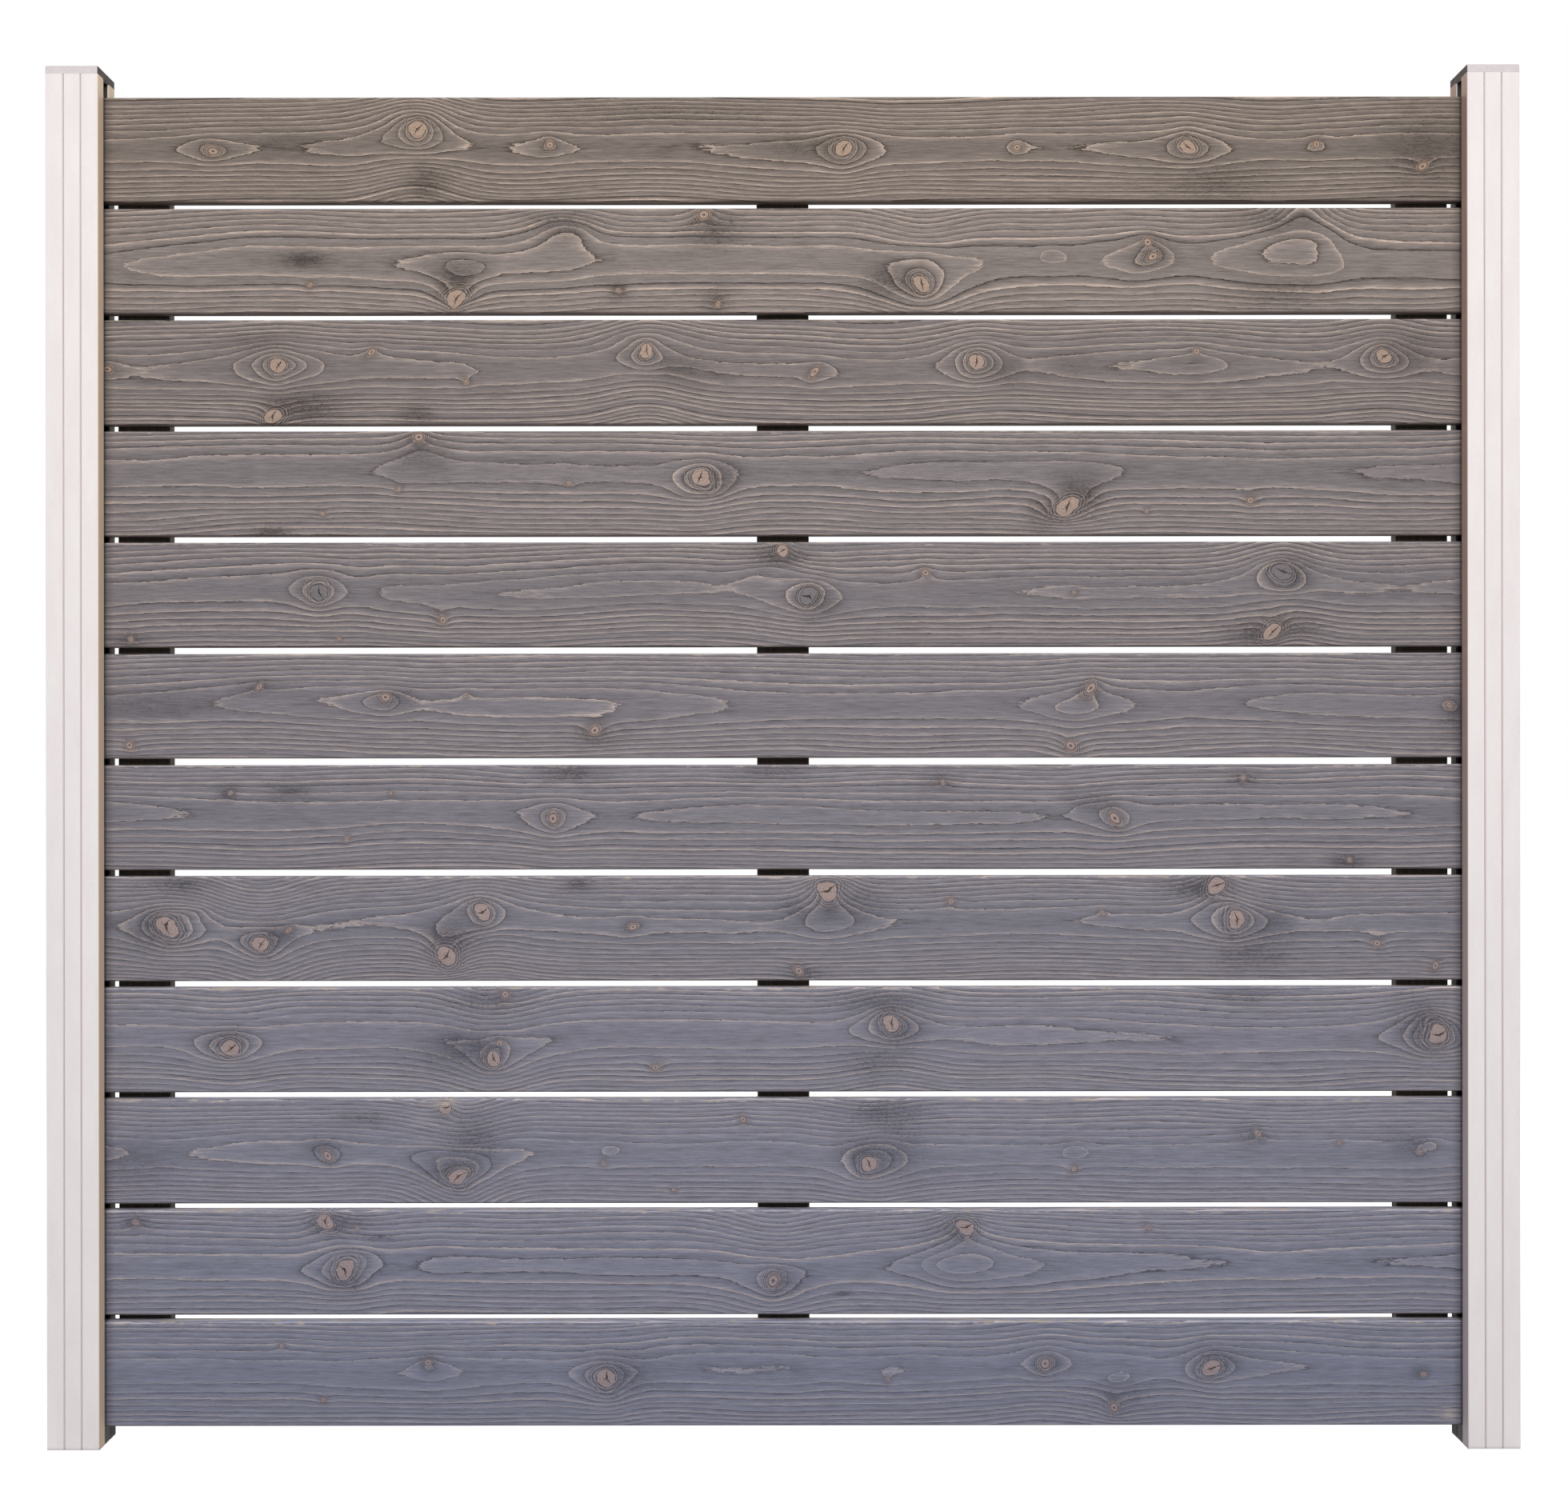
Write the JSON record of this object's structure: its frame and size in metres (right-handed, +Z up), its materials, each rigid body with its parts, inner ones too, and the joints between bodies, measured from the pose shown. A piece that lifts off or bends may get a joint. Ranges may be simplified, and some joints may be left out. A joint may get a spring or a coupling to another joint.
{
  "type": "fence panel",
  "caption": "Fence panel of horizontal stained boards on upright rear battens, its ends held in slotted square aluminium posts with flat caps.",
  "frame": {"origin": "on the ground, midway between the posts and at the middle of their depth", "axes": "+X along the panel to the viewer's right, +Y to the back, +Z up; the front faces -Y"},
  "size_m": [1.957, 0.07, 1.8385],
  "materials": {
    "board_wood": "brushed, grey stain",
    "batten_wood": "planed, dark stain",
    "post_aluminium": "off-white powder coat",
    "cap_plastic": "matt",
    "spacer_plastic": "matt",
    "screw_steel": "plain"
  },
  "bodies": {
    "root": {"board_01": "board_wood", "board_02": "board_wood", "board_03": "board_wood", "board_04": "board_wood", "board_05": "board_wood", "board_06": "board_wood", "board_07": "board_wood", "board_08": "board_wood", "board_09": "board_wood", "board_10": "board_wood", "board_11": "board_wood", "board_12": "board_wood", "batten_left": "batten_wood", "batten_screws_left": "screw_steel", "batten_middle": "batten_wood", "batten_screws_middle": "screw_steel", "batten_right": "batten_wood", "batten_screws_right": "screw_steel", "post_left": "post_aluminium", "post_cap_left": "cap_plastic", "slot_spacer_left": "spacer_plastic", "post_right": "post_aluminium", "post_cap_right": "cap_plastic", "slot_spacer_right": "spacer_plastic", "cover_strip_left_front": "post_aluminium", "cover_strip_left_back": "post_aluminium", "cover_strip_left_outer": "post_aluminium", "cover_strip_right_front": "post_aluminium", "cover_strip_right_back": "post_aluminium", "cover_strip_right_outer": "post_aluminium"}
  },
  "joints": []
}
